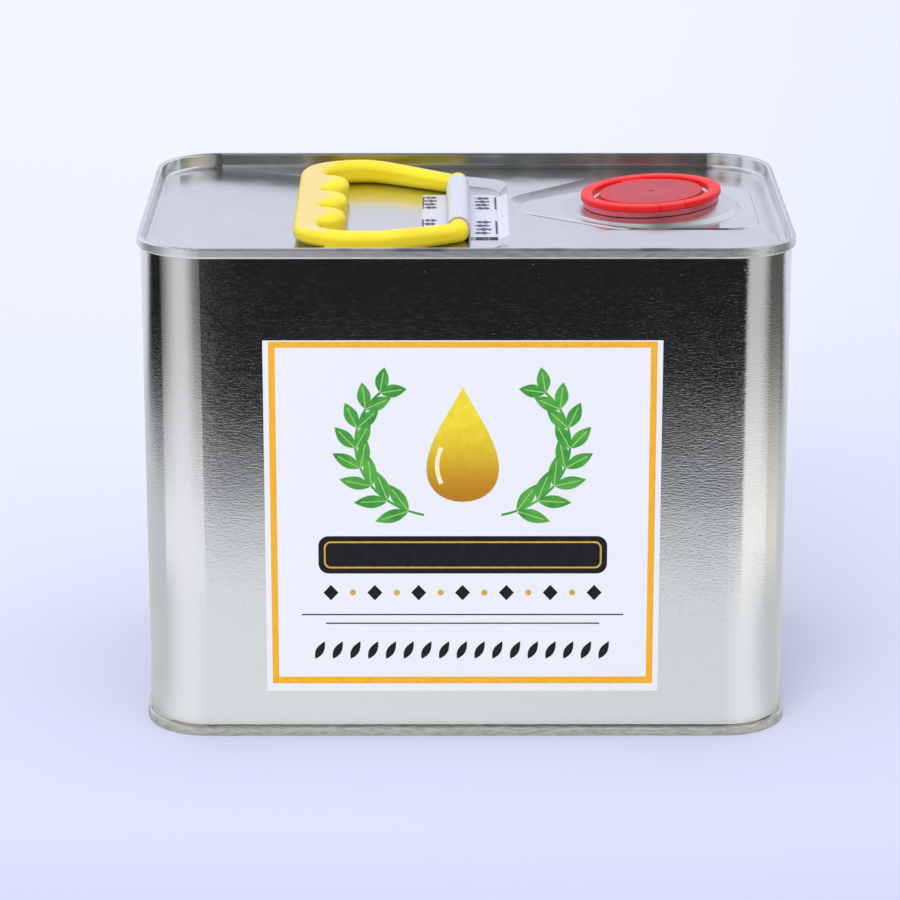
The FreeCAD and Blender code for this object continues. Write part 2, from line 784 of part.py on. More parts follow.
def screw_cap():
    """Cap disc with a threaded skirt and the two lands that carry the bails."""
    disc = Part.makeCylinder(cap_radius, cap_thickness, Vector(0, 0, cap_under))
    top_edge = [edge for edge in disc.Edges if abs(edge.BoundBox.ZMin - cap_top) < cap_edge_round / 4]
    disc = disc.makeFillet(cap_edge_round, top_edge)
    disc = disc.cut(Part.makeCylinder(gate_radius, gate_depth, Vector(0, 0, cap_top - gate_depth)))
    skirt_low = cap_under - cap_skirt_length
    skirt = tube(cap_skirt_outer_radius, cap_skirt_inner_radius, skirt_low, cap_under)
    land_strip = along_bail_line(land_half_width, -land_half_width, bail_low, bail_top)
    bridges = tube(bail_inner_radius + bail_edge_round, liner_radius, cap_under, cap_top - bridge_drop)
    lands = bail_ring().fuse(bridges).common(land_strip)
    ridge_low = tube_top - tube_thread_drop - thread_turns * thread_pitch + thread_pitch / 2
    ridge = thread_ridge(cap_skirt_inner_radius, cap_skirt_inner_radius - thread_rise, ridge_low)
    smooth_cap = one_solid(disc.fuse(skirt).fuse(lands))
    return stand(one_solid(smooth_cap.fuse(ridge)))


def finger_bail(side):
    """Half ring that folds up from the cap as a pull, left (1) or right (-1) of the bail line."""
    reach = bail_outer_radius + overrun
    edge_side = land_half_width + hinge_gap
    half = along_bail_line(reach, edge_side, bail_low, bail_top)
    if side < 0:
        half.rotate(Vector(), UP, 180)
    return stand(one_solid(bail_ring().common(half)))


# Pieces, one file for each

pieces = {
    "body_shell": body_shell(),
    "top_end": top_end(),
    "bottom_end": bottom_end(),
    "top_seam_compound": seam_compound(),
    "bottom_seam_compound": turned_over(seam_compound()),
    "front_label": front_label(),
    "handle_strap": handle_strap(),
    "carry_handle": carry_handle(),
    "neck_collar": neck_collar(),
    "spout_flange": spout_flange(),
    "spout_bellows": spout_bellows(),
    "spout_tube": spout_tube(),
    "tear_seal": tear_seal(),
    "cap_liner": cap_liner(),
    "screw_cap": screw_cap(),
    "left_bail": finger_bail(1),
    "right_bail": finger_bail(-1),
}

os.makedirs("parts", exist_ok=True)
for name, piece in pieces.items():
    piece.exportStep(f"parts/{name}.step")
    size = piece.BoundBox
    print(name, len(piece.Solids), piece.isValid(), round(piece.Volume, 2),
          [round(v, 2) for v in (size.XMin, size.XMax, size.YMin, size.YMax, size.ZMin, size.ZMax)])
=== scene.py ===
import math

import bpy
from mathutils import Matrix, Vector


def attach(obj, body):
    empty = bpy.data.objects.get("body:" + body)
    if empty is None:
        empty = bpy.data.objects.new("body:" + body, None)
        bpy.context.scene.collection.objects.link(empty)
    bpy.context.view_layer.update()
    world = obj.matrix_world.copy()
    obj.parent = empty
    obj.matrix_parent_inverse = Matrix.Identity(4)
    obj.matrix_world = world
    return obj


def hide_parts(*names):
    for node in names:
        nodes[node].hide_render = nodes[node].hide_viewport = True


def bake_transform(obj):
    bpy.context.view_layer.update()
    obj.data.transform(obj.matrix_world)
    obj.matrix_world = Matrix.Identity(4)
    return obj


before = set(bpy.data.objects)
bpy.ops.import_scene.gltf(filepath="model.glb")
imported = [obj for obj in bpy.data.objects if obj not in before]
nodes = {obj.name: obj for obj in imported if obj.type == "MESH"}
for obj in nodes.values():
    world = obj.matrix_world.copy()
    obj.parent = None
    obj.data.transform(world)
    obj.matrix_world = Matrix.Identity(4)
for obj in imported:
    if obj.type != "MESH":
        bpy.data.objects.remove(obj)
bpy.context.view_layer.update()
scene = bpy.context.scene
scene.view_settings.view_transform = "Standard"

MM = 0.001

# Places on the solids, in millimetres
CORNER_X = 76
CORNER_Y = 42
TIN_TOP = 148.3
CLOSURE_X = 55.5
CLOSURE_Z = 146.75
CLOSURE_LEAN = math.radians(3.4)
LABEL_FACE = -60.07
LABEL_MIDDLE = -1.05

# Colours that are used more than once
BAIL_RED = ((0.80, 0.008, 0.010), (0.88, 0.014, 0.016))
BLACK = (0.0, 0.0, 0.0)


# Node graphs

class Graph:
    """Short way to write a shader's nodes."""

    def __init__(self, tree):
        self.tree = tree
        tree.nodes.clear()

    def node(self, kind, inputs=(), **settings):
        made = self.tree.nodes.new(kind)
        for name, value in settings.items():
            setattr(made, name, value)
        for name, value in dict(inputs).items():
            self.feed(made.inputs[name], value)
        return made

    def feed(self, socket, value):
        """Link a socket to an output, or set it to a constant."""
        if isinstance(value, bpy.types.NodeSocket):
            self.tree.links.new(value, socket)
        elif socket.type == "RGBA":
            socket.default_value = (*value, 1.0)
        else:
            socket.default_value = value

    def math(self, operation, first, second=0.0, third=0.0):
        made = self.node("ShaderNodeMath", {0: first, 1: second, 2: third}, operation=operation)
        return made.outputs[0]

    def times(self, first, *others):
        """Product of two or more values."""
        for other in others:
            first = self.math("MULTIPLY", first, other)
        return first

    def span(self, first, second):
        """Length of a flat vector."""
        return self.math("SQRT", self.math("ADD", self.times(first, first), self.times(second, second)))

    def step(self, value, low, high):
        """Smooth rise from 0 at low to 1 at high. It falls where low is above high."""
        made = self.node("ShaderNodeMapRange", {"Value": value, "From Min": low, "From Max": high})
        made.interpolation_type = "SMOOTHSTEP"
        return made.outputs[0]

    def scaled(self, value, low, high):
        """A value from 0 to 1 spread from low to high."""
        return self.math("MULTIPLY_ADD", value, high - low, low)

    def mix(self, share, first, second):
        made = self.node("ShaderNodeMix", data_type="RGBA")
        self.feed(made.inputs[0], share)
        self.feed(made.inputs[6], first)
        self.feed(made.inputs[7], second)
        return made.outputs[2]

    def noise(self, point, stretch, detail, roughness, shift=(0, 0, 0)):
        """Noise of about stretch waves a metre along x, y and z."""
        placed = self.node("ShaderNodeMapping", {"Vector": point, "Scale": stretch, "Location": shift})
        made = self.node("ShaderNodeTexNoise", {
            "Vector": placed.outputs[0], "Scale": 1.0, "Detail": detail, "Roughness": roughness})
        return made.outputs["Fac"]

    def bump(self, height, strength, distance, under=None):
        made = self.node("ShaderNodeBump", {"Height": height, "Strength": strength, "Distance": distance})
        if under is not None:
            self.feed(made.inputs["Normal"], under)
        return made.outputs[0]

    def point(self):
        """Position in the object's own frame."""
        return self.node("ShaderNodeTexCoord").outputs["Object"]

    def parts(self, vector):
        """The x, y and z of a vector."""
        return self.node("ShaderNodeSeparateXYZ", {0: vector}).outputs

    def surface(self, inputs):
        """Principled shader with these inputs, as what the material shows."""
        shader = self.node("ShaderNodeBsdfPrincipled", inputs)
        output = self.node("ShaderNodeOutputMaterial", {"Surface": shader.outputs[0]})
        output.is_active_output = True


def material(name):
    """New material with an empty graph."""
    made = bpy.data.materials.new(name)
    made.use_nodes = True
    return made, Graph(made.node_tree)


def dress(name, finish):
    """Give every slot of a CAD node one finish."""
    for slot in nodes[name].material_slots:
        slot.material = finish


def mesh_object(name, points, faces, finish):
    """Object in the scene from points in metres, with one finish."""
    mesh = bpy.data.meshes.new(name)
    mesh.from_pydata(points, [], faces)
    mesh.update()
    made = bpy.data.objects.new(name, mesh)
    scene.collection.objects.link(made)
    made.data.materials.append(finish)
    return made


def in_metres(points):
    return [(px * MM, py * MM, pz * MM) for px, py, pz in points]


# Finishes

def rim_reach(g, x, y):
    """How far a point lies out from the middle lines of the tin's round corners, in metres."""
    beside_x = g.math("SUBTRACT", g.math("ABSOLUTE", x), CORNER_X * MM)
    beside_y = g.math("SUBTRACT", g.math("ABSOLUTE", y), CORNER_Y * MM)
    return g.span(g.math("MAXIMUM", beside_x, 0.0), g.math("MAXIMUM", beside_y, 0.0))


def closure_reach(g, x, y):
    """How far a point lies from an upright line through the closure's middle, in metres."""
    return g.span(g.math("SUBTRACT", x, CLOSURE_X * MM), y)


def wall_tinplate():
    """Bright tinplate with the fine level grain of stone-finished sheet, coarser to the right."""
    made, g = material("wall_tinplate")
    point = g.point()
    x, _, z = g.parts(point)
    grain = g.noise(point, (560, 560, 2300), 3.0, 0.62)
    long_grain = g.noise(point, (70, 70, 1900), 2.0, 0.5, (3, 1, 7))
    cloud = g.noise(point, (16, 16, 30), 2.0, 0.5, (5, 2, 1))
    spots = g.noise(point, (650, 650, 1300), 1.0, 0.5, (8, 3, 5))
    pebble = g.noise(point, (620, 620, 2300), 2.0, 0.6, (2, 6, 4))
    strokes = g.step(grain, 0.42, 0.66)
    specks = g.times(g.step(spots, 0.74, 0.80), g.step(z, 136 * MM, 144 * MM))
    rough = g.math("MULTIPLY_ADD", strokes, 0.06, 0.08)
    rough = g.math("MULTIPLY_ADD", cloud, 0.04, rough)
    rough = g.math("MULTIPLY_ADD", specks, 0.28, rough)
    coarser = g.scaled(g.step(x, 20 * MM, 80 * MM), 1.0, 1.8)
    normal = g.bump(cloud, 0.22, 1.0 * MM)
    normal = g.bump(grain, 0.20, 0.11 * MM, normal)
    normal = g.bump(g.times(pebble, coarser), 0.5, 0.046 * MM, normal)
    tangent = g.node("ShaderNodeTangent", direction_type="RADIAL", axis="Z")
    g.surface({
        "Base Color": g.mix(g.scaled(long_grain, 0.90, 1.00), (0.60, 0.60, 0.60), (0.785, 0.79, 0.795)),
        "Roughness": rough, "Metallic": 1.0, "Anisotropic": 0.30, "Anisotropic Rotation": 0.25,
        "Tangent": tangent.outputs[0], "Normal": normal})
    return made


def end_tinplate(name, seam_rough, seam_lean, seam_dark, seam_light):
    """Tinplate of a pressed end with a duller rolled seam."""
    made, g = material(name)
    point = g.point()
    x, y, z = g.parts(point)
    lines = g.noise(point, (40, 900, 900), 2.0, 0.5)
    cloud = g.noise(point, (22, 22, 22), 2.0, 0.5, (4, 8, 2))
    smears = g.noise(point, (90, 60, 60), 3.0, 0.6, (9, 1, 3))
    scuffs = g.noise(point, (260, 260, 1500), 2.0, 0.6, (2, 7, 1))
    marks = g.noise(point, (48, 48, 15), 1.0, 0.4, (3, 3, 3))
    seam = g.step(rim_reach(g, x, y), 17.9 * MM, 18.3 * MM)

    # The seam is paler at the upper left, and has painted dark reflections in dashes along its top edge
    rolled = g.mix(g.step(scuffs, 0.34, 0.60), seam_dark, seam_light)
    paler_upper_left = g.times(g.step(x, 10 * MM, -60 * MM), g.step(z, 100 * MM, 110 * MM))
    rolled = g.mix(g.times(paler_upper_left, 0.75), rolled, (0.92, 0.92, 0.93))
    dark_reflection_dashes = g.times(g.step(marks, 0.58, 0.66), g.step(z, 147.2 * MM, 147.7 * MM))
    rolled = g.mix(g.times(dark_reflection_dashes, 0.75), rolled, (0.20, 0.21, 0.26))

    # A strip beside the handle strap is painted pale and less metallic: a painted highlight in place of light
    # caught by a slope there
    painted_pale_strip = g.times(g.step(x, 9.5 * MM, 9.7 * MM), g.step(x, 12.9 * MM, 12.5 * MM),
                    g.step(g.math("ABSOLUTE", y), 26.4 * MM, 25.8 * MM), g.step(z, 140 * MM, 141 * MM))
    panel = g.mix(g.step(smears, 0.35, 0.75), (0.76, 0.77, 0.79), (0.82, 0.825, 0.84))
    panel = g.mix(painted_pale_strip, panel, (0.72, 0.73, 0.84))

    # The seat round the closure is duller than the rest of the panel
    seat = g.step(closure_reach(g, x, y), 28.0 * MM, 26.0 * MM)
    rough = g.math("MULTIPLY_ADD", lines, 0.06, 0.15)
    rough = g.math("MULTIPLY_ADD", g.step(smears, 0.45, 0.8), 0.07, rough)
    rough = g.math("MULTIPLY_ADD", seam, seam_rough, rough)
    rough = g.math("MULTIPLY_ADD", seat, 0.14, rough)

    # Two slopes are only shaded: the seam leans in, and in front of the boss the lid falls to the front
    below = g.math("SUBTRACT", z, TIN_TOP * MM)
    fall_from, fall_length = -27 * MM, 22 * MM
    beyond = g.math("MAXIMUM", g.math("SUBTRACT", fall_from, y), 0.0)
    beyond = g.math("MINIMUM", beyond, fall_length)
    easing = g.math("MULTIPLY_ADD", beyond, 1 / (2 * fall_length), -1.0)
    crown = g.times(beyond, easing, g.step(x, 15 * MM, 45 * MM))
    normal = g.bump(cloud, 0.10, 0.8 * MM)
    normal = g.bump(g.times(below, seam), 1.0, seam_lean, normal)
    normal = g.bump(crown, 1.0, 0.15, normal)
    normal = g.bump(lines, 0.05, 0.05 * MM, normal)
    g.surface({
        "Base Color": g.mix(seam, panel, rolled), "Roughness": rough,
        "Metallic": g.math("SUBTRACT", 1.0, g.times(painted_pale_strip, 0.85)), "Normal": normal})
    return made


def brushed(name, stretch, dark, light, metallic):
    """Coated sheet with fine lines. For the collar, the pinkish red is painted reflection, not a coating."""
    made, g = material(name)
    lines = g.noise(g.point(), stretch, 2.0, 0.5)
    g.surface({
        "Base Color": g.mix(lines, dark, light), "Roughness": g.scaled(lines, 0.30, 0.42),
        "Metallic": metallic, "Normal": g.bump(lines, 0.06, 0.06 * MM)})
    return made


def flow_mix(g, point, dark, light):
    """Colour of moulded plastic with a slight flow mottle."""
    return g.mix(g.step(g.noise(point, (60, 60, 60), 2.0, 0.5), 0.3, 0.7), dark, light)


def satin_skin(g, point, stretch=2200):
    """Fine noise of a moulded skin."""
    return g.noise(point, (stretch, stretch, stretch), 2.0, 0.5, (1, 2, 3))


def plastic(name, dark, light, roughness, gloss=0.5):
    """Moulded plastic with a slight flow mottle and a satin skin."""
    made, g = material(name)
    point = g.point()
    skin = satin_skin(g, point)
    g.surface({
        "Base Color": flow_mix(g, point, dark, light),
        "Roughness": g.math("MULTIPLY_ADD", skin, 0.10, roughness - 0.05),
        "Specular IOR Level": gloss, "Normal": g.bump(skin, 0.04, 0.05 * MM)})
    return made


def handle_plastic():
    """Yellow of the handle, with a painted sheen of paler cream on the flat top of the grip."""
    made, g = material("handle_plastic")
    point = g.point()
    x, y, _ = g.parts(point)
    facing = g.parts(g.node("ShaderNodeTexCoord").outputs["Normal"])[2]
    skin = satin_skin(g, point)
    sheen_mottle = g.noise(point, (150, 150, 150), 3.0, 0.6, (6, 2, 4))
    yellow = flow_mix(g, point, (0.87, 0.67, 0.006), (0.92, 0.74, 0.011))
    # Painted sheen: the up-facing flat top of the grip turns a paler cream
    cream = g.mix(sheen_mottle, (0.77, 0.59, 0.15), (0.82, 0.67, 0.25))

    # The edge of the painted sheen waves with the finger bumps
    bump_pitch = 20.5 * MM
    scallop = g.times(g.math("COSINE", g.times(y, 2 * math.pi / bump_pitch)), 1.5 * MM)
    edge = g.math("SUBTRACT", x, scallop)
    painted_sheen = g.times(g.step(edge, -40.5 * MM, -43.0 * MM), g.step(facing, 0.75, 0.96))
    g.surface({
        "Base Color": g.mix(painted_sheen, yellow, cream), "Roughness": g.scaled(skin, 0.32, 0.42),
        "Specular IOR Level": 0.6, "Normal": g.bump(skin, 0.04, 0.05 * MM)})
    return made


def cap_plastic():
    """Red of the screw cap: a dull disc with a painted pinkish sheen in its middle, clearer at its edge and
    gate, with lands as bright as the bails.
    """
    made, g = material("cap_plastic")
    point = g.point()
    x, y, _ = g.parts(point)
    skin = satin_skin(g, point, 1500)
    smudge = g.noise(point, (170, 170, 170), 3.0, 0.6, (4, 6, 8))
    out = closure_reach(g, x, y)
    # Painted sheen: the disc's middle is pinker than its rim
    middle = g.mix(g.step(smudge, 0.35, 0.65), (0.44, 0.016, 0.034), (0.50, 0.028, 0.050))
    rim = flow_mix(g, point, (0.52, 0.006, 0.014), (0.58, 0.008, 0.016))
    gate = g.step(out, 3.0 * MM, 0.6 * MM)
    disc = g.mix(g.math("MAXIMUM", g.step(out, 9.5 * MM, 15.0 * MM), gate), middle, rim)
    land = flow_mix(g, point, *BAIL_RED)
    g.surface({
        "Base Color": g.mix(g.step(out, 15.2 * MM, 15.9 * MM), disc, land),
        "Roughness": g.scaled(skin, 0.36, 0.48),
        "Specular IOR Level": 0.5, "Normal": g.bump(skin, 0.06, 0.06 * MM)})
    return made


def label_paper():
    """White coated paper with a faint fibre mottle."""
    made, g = material("label_paper")
    point = g.point()
    fibre = g.noise(point, (900, 900, 900), 4.0, 0.6)
    cloud = g.noise(point, (25, 25, 25), 2.0, 0.5)
    share = g.math("MULTIPLY_ADD", fibre, 0.5, g.times(cloud, 0.5))
    g.surface({
        "Base Color": g.mix(share, (0.845, 0.850, 0.858), (0.868, 0.870, 0.874)),
        "Roughness": g.scaled(fibre, 0.42, 0.56), "Normal": g.bump(fibre, 0.05, 0.04 * MM)})
    return made


def ink(name, dark, light, grain_scale=500, rise=None, low_tint=None):
    """Printed colour with a little dot grain. A low tint gives way to it over a rise in height."""
    made, g = material(name)
    point = g.point()
    grain = g.noise(point, (grain_scale, grain_scale, grain_scale), 3.0, 0.6)
    colour = g.mix(g.step(grain, 0.3, 0.7), dark, light)
    if low_tint is not None:
        colour = g.mix(g.step(g.parts(point)[2], *rise), low_tint, colour)
    g.surface({
        "Base Color": colour, "Roughness": g.scaled(grain, 0.46, 0.60),
        "Specular IOR Level": 0.3, "Normal": g.bump(grain, 0.03, 0.03 * MM)})
    return made


def weld_burn_and_shadow():
    """Blued and charred steel, broken by bright flecks. On the feet's edges it is partly painted shadow."""
    made, g = material("weld_burn_and_shadow")
    point = g.point()
    char = g.noise(point, (700, 420, 700), 3.0, 0.65)
    blue = g.noise(point, (240, 240, 240), 2.0, 0.5, (2, 5, 1))
    dark = g.mix(blue, (0.030, 0.026, 0.036), (0.12, 0.105, 0.15))
    g.surface({
        "Base Color": g.mix(g.step(char, 0.56, 0.70), dark, (0.52, 0.52, 0.60)),
        "Roughness": g.scaled(char, 0.40, 0.62),
        "Specular IOR Level": 0.4, "Normal": g.bump(char, 0.15, 0.08 * MM)})
    return made


wall_finish = wall_tinplate()
top_finish = end_tinplate("top_tinplate", 0.16, 0.13, (0.62, 0.62, 0.62), (0.80, 0.805, 0.81))
# The bottom seam's darker, olive colours are painted shade from the floor close below it
bottom_finish = end_tinplate("bottom_tinplate", 0.20, 0.0, (0.56, 0.56, 0.53), (0.76, 0.76, 0.73))
strap_finish = brushed("strap_steel", (1500, 60, 900), (0.68, 0.69, 0.80), (0.74, 0.75, 0.86), 0.3)
# The collar's pinkish red is painted reflection of the red ring above it, on bare metal
collar_reflection_finish = brushed("collar_metal_red_reflection", (300, 300, 1600), (0.78, 0.13, 0.17), (0.92, 0.21, 0.26), 0.8)
yellow_finish = handle_plastic()
red_finish = plastic("red_plastic", *BAIL_RED, 0.40, 0.35)
cap_finish = cap_plastic()
natural_finish = plastic("natural_plastic", (0.76, 0.77, 0.74), (0.84, 0.85, 0.82), 0.40)
foam_finish = plastic("liner_foam", (0.70, 0.70, 0.68), (0.82, 0.82, 0.80), 0.70)
compound_finish = plastic("seam_compound", (0.10, 0.11, 0.10), (0.16, 0.17, 0.16), 0.60)
paper_finish = label_paper()

dress("body_shell", wall_finish)
dress("top_end", top_finish)
dress("bottom_end", bottom_finish)
dress("neck_collar", collar_reflection_finish)
dress("handle_strap", strap_finish)
dress("carry_handle", yellow_finish)
dress("screw_cap", cap_finish)
dress("left_bail", red_finish)
dress("right_bail", red_finish)
for pale_piece in ("spout_flange", "spout_bellows", "spout_tube", "tear_seal"):
    dress(pale_piece, natural_finish)
dress("cap_liner", foam_finish)
dress("top_seam_compound", compound_finish)
dress("bottom_seam_compound", compound_finish)
dress("front_label", paper_finish)


# Printing on the label: a frame and a generic design of a drop, leaf sprigs, a bar and rules

INK_LAYER = 0.02


def piece(name, points, faces, finish, body):
    """One piece from points in millimetres, riding on a body."""
    made = mesh_object(name, in_metres(points), faces, finish)
    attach(made, body)


def printed(name, outlines, layer, finish, spread=0.0):
    """Flat printing from (x, z) outlines, a few hundredths of a millimetre proud of the paper."""
    points = []
    faces = []
    for number, outline in enumerate(outlines):
        area = sum(a[0] * b[1] - b[0] * a[1] for a, b in zip(outline, outline[1:] + outline[:1]))
        ordered = outline if area > 0 else outline[::-1]
        first = len(points)
        level = LABEL_FACE - INK_LAYER * layer - spread * number
        points += [(px, level, pz) for px, pz in ordered]
        faces.append(tuple(range(first, first + len(ordered))))
    piece(name, points, faces, finish, "tin")


def round_box(low_x, low_z, high_x, high_z, corner):
    """Outline of a box with round corners."""
    steps = 6
    outline = []
    places = ((high_x - corner, high_z - corner), (low_x + corner, high_z - corner),
              (low_x + corner, low_z + corner), (high_x - corner, low_z + corner))
    for turn, (px, pz) in enumerate(places):
        for index in range(steps + 1):
            angle = math.radians(90 * turn + 90 * index / steps)
            outline.append((px + corner * math.cos(angle), pz + corner * math.sin(angle)))
    return outline


def strips(outer, inner):
    """Four-sided pieces between two outlines with the same number of points."""
    count = len(outer)
    return [[outer[i], outer[(i + 1) % count], inner[(i + 1) % count], inner[i]] for i in range(count)]


def leaf(px, pz, length, width, degrees):
    """Pointed leaf from its foot, at an angle."""
    turn = math.radians(degrees)
    steps = 8
    upper = []
    lower = []
    for index in range(steps + 1):
        share = index / steps
        half = width / 2 * math.sin(math.pi * share) ** 0.9 * (1.15 - 0.3 * share)
        for side, line in ((1, upper), (-1, lower)):
            along, across = length * share, side * half
            line.append((px + along * math.cos(turn) - across * math.sin(turn),
                         pz + along * math.sin(turn) + across * math.cos(turn)))
    return lower + upper[-2:0:-1]


def drop(px, pz, half_width, half_height):
    """Drop with its point upwards, about a middle."""
    steps = 40
    outline = []
    for index in range(steps):
        angle = 2 * math.pi * index / steps
        outline.append((px + 1.3 * half_width * math.sin(angle) * math.sin(angle / 2) ** 1.5,
                        pz + half_height * math.cos(angle)))
    return outline


def stroke(line, width):
    """Line drawn with a width, as four-sided pieces."""
    sides = []
    for index, (px, pz) in enumerate(line):
        before = line[max(index - 1, 0)]
        after = line[min(index + 1, len(line) - 1)]
        run = math.hypot(after[0] - before[0], after[1] - before[1])
        nx, nz = -(after[1] - before[1]) / run, (after[0] - before[0]) / run
        sides.append(((px + nx * width / 2, pz + nz * width / 2), (px - nx * width / 2, pz - nz * width / 2)))
    return [[a[0], b[0], b[1], a[1]] for a, b in zip(sides, sides[1:])]


orange_ink = ink("orange_ink", (0.88, 0.42, 0.018), (0.96, 0.47, 0.025))
black_ink = ink("black_ink", (0.004, 0.004, 0.006), (0.009, 0.009, 0.012))
gold_ink = ink("gold_ink", (0.62, 0.36, 0.04), (0.74, 0.46, 0.07))
oil_ink = ink("oil_ink", (0.86, 0.66, 0.02), (0.93, 0.76, 0.04), 300,
              (72 * MM, 100 * MM), (0.50, 0.20, 0.004))
shine_ink = ink("shine_ink", (0.90, 0.82, 0.42), (0.96, 0.90, 0.58))
leaf_ink = ink("leaf_ink", (0.030, 0.28, 0.035), (0.10, 0.44, 0.05), 160)
rib_ink = ink("rib_ink", (0.30, 0.56, 0.16), (0.40, 0.64, 0.22))

frame_outside = round_box(-56.8, 16.3, 54.7, 120.7, 0.3)
frame_inside = round_box(-54.9, 18.4, 52.8, 118.9, 0.2)
printed("label_frame", strips(frame_outside, frame_inside), 1, orange_ink)

DESIGN_LEVEL = 90
SPRIG_STEPS = 24
LEAF_EVERY = 3
LEAF_WIDTH = 3.9
LEAF_SPREAD = 36
leaves = []
ribs = []
stems = []
for hand in (-1, 1):
    line = []
    for index in range(SPRIG_STEPS + 1):
        angle = math.radians(-78 + 128 * (index / SPRIG_STEPS))
        line.append((LABEL_MIDDLE + hand * (6 + 25 * math.cos(angle)), DESIGN_LEVEL + 22 * math.sin(angle)))
    stems += stroke(line, 0.7)
    for index in range(2, SPRIG_STEPS + 1, LEAF_EVERY):
        (ax, az), (bx, bz) = line[index - 1], line[index]
        heading = math.degrees(math.atan2(bz - az, bx - ax))
        size = 10.5 - 0.12 * index
        for side in (1, -1):
            angle = heading + LEAF_SPREAD * side
            leaves.append(leaf(bx, bz, size, LEAF_WIDTH, angle))
            tip = math.radians(angle)
            rib_end = (bx + 0.8 * size * math.cos(tip), bz + 0.8 * size * math.sin(tip))
            ribs += stroke([(bx, bz), rib_end], 0.35)
printed("label_stems", stems, 1, leaf_ink)
printed("label_leaves", leaves, 2, leaf_ink, 0.002)
printed("label_leaf_ribs", ribs, 6, rib_ink)
printed("label_drop", [drop(LABEL_MIDDLE, DESIGN_LEVEL, 11.5, 17.5)], 4, oil_ink)
shine = [(LABEL_MIDDLE - 7.4 + 0.05 * (t - 5) ** 2, 78 + 1.1 * t) for t in range(11)]
printed("label_drop_shine", stroke(shine, 1.3), 5, shine_ink)

printed("label_bar", [round_box(-43.0, 50.5, 41.0, 62.0, 3.0)], 1, black_ink)
line_outside = round_box(-41.4, 52.1, 39.4, 60.4, 2.0)
line_inside = round_box(-40.9, 52.6, 38.9, 59.9, 1.6)
printed("label_bar_line", strips(line_outside, line_inside), 2, gold_ink)

ROW_PITCH = 6.4
ROW_LEVEL = 44.6
diamonds = []
dots = []
for index in range(-6, 7):
    px = LABEL_MIDDLE + ROW_PITCH * index
    if index % 2 == 0:
        diamonds.append([(px, 42.2), (px + 2.2, ROW_LEVEL), (px, 47.0), (px - 2.2, ROW_LEVEL)])
    else:
        dots.append(round_box(px - 0.9, 43.7, px + 0.9, 45.5, 0.9))
printed("label_diamonds", diamonds, 1, black_ink)
printed("label_dots", dots, 1, gold_ink)
upper_rule = round_box(-48.0, 37.6, 46.0, 38.0, 0.1)
lower_rule = round_box(-41.0, 34.9, 39.0, 35.3, 0.1)
printed("label_rules", [upper_rule, lower_rule], 1, black_ink)

HEM_PITCH = 5.2
hem = []
for index in range(-8, 9):
    px = LABEL_MIDDLE + HEM_PITCH * index
    hem.append(leaf(px - 1.6, 24.0, 6.2, 2.3, 62))
printed("label_hem_leaves", hem, 1, black_ink)


# Weld marks on the feet of the handle strap, a hundredth of a millimetre or so proud of the steel, with dark
# edges that are partly weld burn and partly painted shadow

MARK_LEVEL = 142.915
MARK_END = -26.265
STROKE_STEPS = 14
BURN_AND_SHADOW_STEPS = 8

# For each foot: the strokes' ends in x, those of its dark edge of weld burn and painted shadow, and the
# strokes' places in y by halves
FOOT_MARKS = (
    (2.9, 7.4, 8.8, 9.45, ((21.6, 17.4, 13.2, 9.0), (-8.2, -12.6, -17.0, -21.4))),
    (-12.4, -8.6, -12.95, -12.4, ((22.6, 18.4, 14.2, 10.0), (-6.0, -10.4, -14.8, -19.2))),
)


def weld_marks():
    """Broad dark strokes left by the welding wheel in two groups on each foot, with dark edges of weld burn
    and painted shadow.
    """
    points = []
    faces = []

    def strip(edge):
        first = len(points)
        for px, near_y, far_y in edge:
            points.extend([(px, near_y, MARK_LEVEL), (px, far_y, MARK_LEVEL)])
        for index in range(len(edge) - 1):
            a = first + 2 * index
            faces.append((a, a + 2, a + 3, a + 1))

    for low_x, high_x, burn_and_shadow_low, burn_and_shadow_high, halves in FOOT_MARKS:
        for part, rows in enumerate(halves):
            for row, middle_y in enumerate(rows):
                edge = []
                for index in range(STROKE_STEPS + 1):
                    share = index / STROKE_STEPS
                    px = low_x + (high_x - low_x) * share + 0.3 * math.sin(3.1 * row + part)
                    swell = 0.50 + 1.00 * math.sin(math.pi * share) ** 0.8
                    half = swell * (1 + 0.30 * math.sin(5.3 * index + 2.1 * row + 4 * part))
                    shift = 0.30 * math.sin(2.3 * index + 1.7 * row)
                    edge.append((px, middle_y + shift - half, middle_y + shift + half))
                strip(edge)
            edge_burn_and_shadow = []
            for index in range(BURN_AND_SHADOW_STEPS + 1):
                px = burn_and_shadow_low + (burn_and_shadow_high - burn_and_shadow_low) * (index / BURN_AND_SHADOW_STEPS)
                ragged = 0.5 * math.sin(7.1 * index + 3 * part)
                edge_burn_and_shadow.append((px, rows[-1] - 1.4 + ragged, rows[0] + 1.4 - ragged))
            strip(edge_burn_and_shadow)
    return points, faces


burn_and_shadow_finish = weld_burn_and_shadow()
piece("weld_marks", *weld_marks(), burn_and_shadow_finish, "tin")

# Near face of the right foot, painted black: partly weld burn, partly painted shadow
near_burn_and_shadow = [(px, MARK_END, pz) for px, pz in ((2.9, 142.43), (9.4, 142.43), (9.4, 142.90), (2.9, 142.90))]
piece("weld_near_burn_and_shadow", near_burn_and_shadow, [(0, 1, 2, 3)], burn_and_shadow_finish, "tin")


# Folded wall of the spout, drawn in place of the spout's bellows

SLEEVE_LEVELS = 24
SLEEVE_AROUND = 72
SLEEVE_RIM = -0.35


def on_closure(radius, angle, height):
    """Point of the leaning closure, in millimetres."""
    along = radius * math.cos(angle)
    return (CLOSURE_X + along * math.cos(CLOSURE_LEAN) - height * math.sin(CLOSURE_LEAN),
            radius * math.sin(angle),
            CLOSURE_Z + along * math.sin(CLOSURE_LEAN) + height * math.cos(CLOSURE_LEAN))


